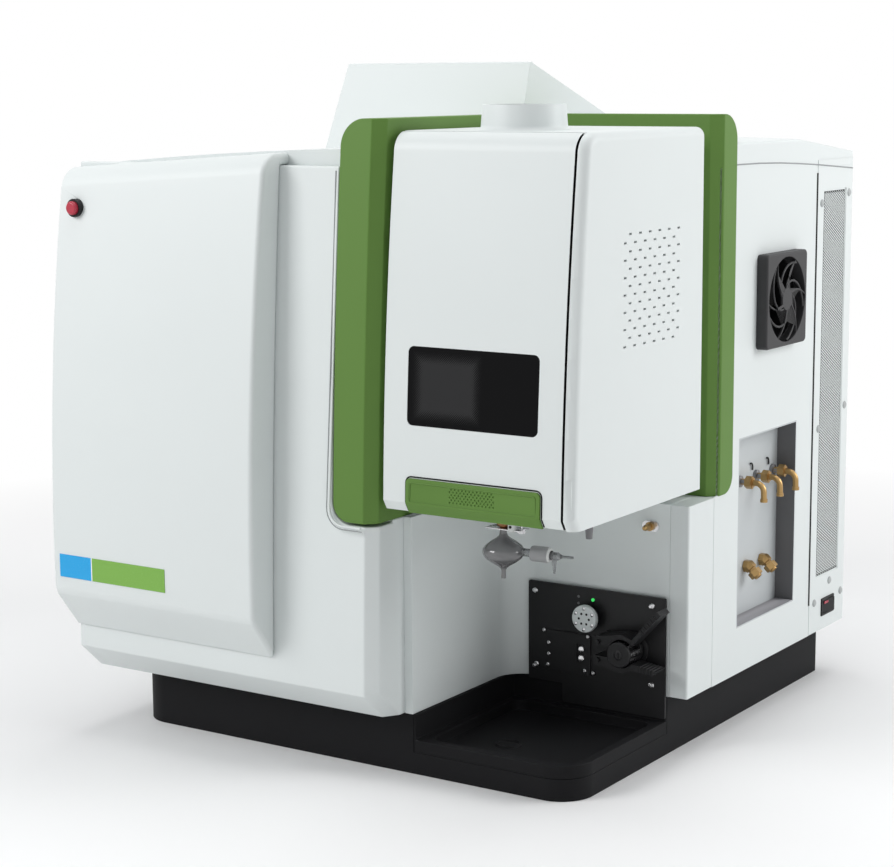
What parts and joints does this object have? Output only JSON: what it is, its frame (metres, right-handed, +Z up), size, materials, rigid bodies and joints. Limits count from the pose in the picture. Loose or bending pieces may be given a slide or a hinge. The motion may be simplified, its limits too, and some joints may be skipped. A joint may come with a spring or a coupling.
{
  "type": "optical emission spectrometer",
  "caption": "Bench-top plasma emission spectrometer with a torch box and hinged door, an open sample bay with pump and valve, and a service side with fan.",
  "frame": {"origin": "centre of the plinth's foot, on the surface it stands on", "axes": "+Z up, -Y towards the front with the torch door, +X to the right side with the fan"},
  "size_m": [0.788, 0.8712, 0.903],
  "materials": {
    "enclosure_white": "satin powder coat",
    "base_black": "fine matte grain",
    "frame_green": "satin moulded",
    "badge_blue_green": "gloss printed",
    "button_red": "gloss",
    "dark_plastic": "satin",
    "fan_grey": "satin",
    "window_dark": "dark tinted gloss",
    "module_black": "satin black",
    "pale_metal": "satin anodised",
    "steel": "brushed",
    "brass": "machined",
    "clear_glass": "clear",
    "smoky_glass": "smoky",
    "white_plastic": "satin",
    "grey_plastic": "satin",
    "mesh_grey": "perforated sheet",
    "lamp_green": "gloss lens"
  },
  "bodies": {
    "chassis": {"base_plinth": "base_black", "drip_tray": "base_black", "left_housing": "enclosure_white", "right_housing": "enclosure_white", "left_front_cover": "enclosure_white", "badge_plate": "badge_blue_green", "stop_button_collar": "dark_plastic", "top_lid": "enclosure_white", "rear_hood": "enclosure_white", "green_frame": "frame_green", "sample_liner": "enclosure_white", "corner_column": "enclosure_white", "right_side_panel": "enclosure_white", "service_recess": "pale_metal", "fan_guard": "fan_grey", "fan_frame": "dark_plastic", "rear_vent_panel": "enclosure_white", "vent_mesh": "mesh_grey", "power_rocker_bezel": "dark_plastic", "rocker_pin": "steel", "panel_screws": "steel", "rear_panel": "enclosure_white", "power_inlet": "dark_plastic", "torch_housing": "enclosure_white", "door_hinge_pins": "steel", "exhaust_collar": "enclosure_white", "exhaust_chimney": "steel", "torch_mount": "white_plastic", "quartz_torch": "clear_glass", "induction_plates": "pale_metal", "spray_chamber": "smoky_glass", "chamber_sleeve": "white_plastic", "nebuliser": "clear_glass", "ball_joint_clamp": "steel", "clamp_screw": "steel", "drain_peg": "grey_plastic", "side_port_plate": "steel", "side_port": "brass", "module_panel": "module_black", "module_screws": "steel", "status_lamps": "lamp_green", "module_sub_plate": "module_black", "valve_collar": "dark_plastic", "valve_head": "pale_metal", "valve_fittings": "white_plastic", "pump_body": "dark_plastic", "gas_bulkheads": "brass", "gas_elbows": "brass", "water_fitting_1": "brass", "water_fitting_2": "brass"},
    "door": {"torch_door": "enclosure_white", "door_window": "window_dark", "door_handle": "frame_green"},
    "button": {"stop_button": "button_red"},
    "rocker": {"power_rocker": "dark_plastic"},
    "fan": {"fan_rotor": "dark_plastic"},
    "pump": {"pump_rotor": "dark_plastic", "pump_rollers": "steel"},
    "upper_shoe": {"upper_clamp": "dark_plastic"},
    "lower_shoe": {"lower_clamp": "dark_plastic"}
  },
  "joints": [
    {"name": "door_hinge", "type": "hinge", "parent": "chassis", "child": "door", "pos_m": [0.115, -0.413, 0.368], "axis": [0, -0.0729, -0.9973], "range_deg": [0, 105]},
    {"name": "stop_press", "type": "slide", "parent": "chassis", "child": "button", "axis": [0, 1, 0], "range_m": [0, 0.003], "stiffness_N_per_m": 400},
    {"name": "power_rock", "type": "hinge", "parent": "chassis", "child": "rocker", "pos_m": [0.376, 0.331, 0.112], "axis": [0, 0, 1], "range_deg": [0, 14]},
    {"name": "fan_spin", "type": "hinge", "parent": "chassis", "child": "fan", "pos_m": [0.36, 0.136, 0.582], "axis": [1, 0, 0], "continuous": true},
    {"name": "pump_spin", "type": "hinge", "parent": "chassis", "child": "pump", "pos_m": [0.305, -0.15, 0.14], "axis": [0, -1, 0], "continuous": true},
    {"name": "upper_shoe_lift", "type": "hinge", "parent": "chassis", "child": "upper_shoe", "pos_m": [0.271, -0.15, 0.152], "axis": [0, -1, 0], "range_deg": [0, 60]},
    {"name": "lower_shoe_drop", "type": "hinge", "parent": "chassis", "child": "lower_shoe", "pos_m": [0.271, -0.15, 0.128], "axis": [0, 1, 0], "range_deg": [0, 45]}
  ]
}
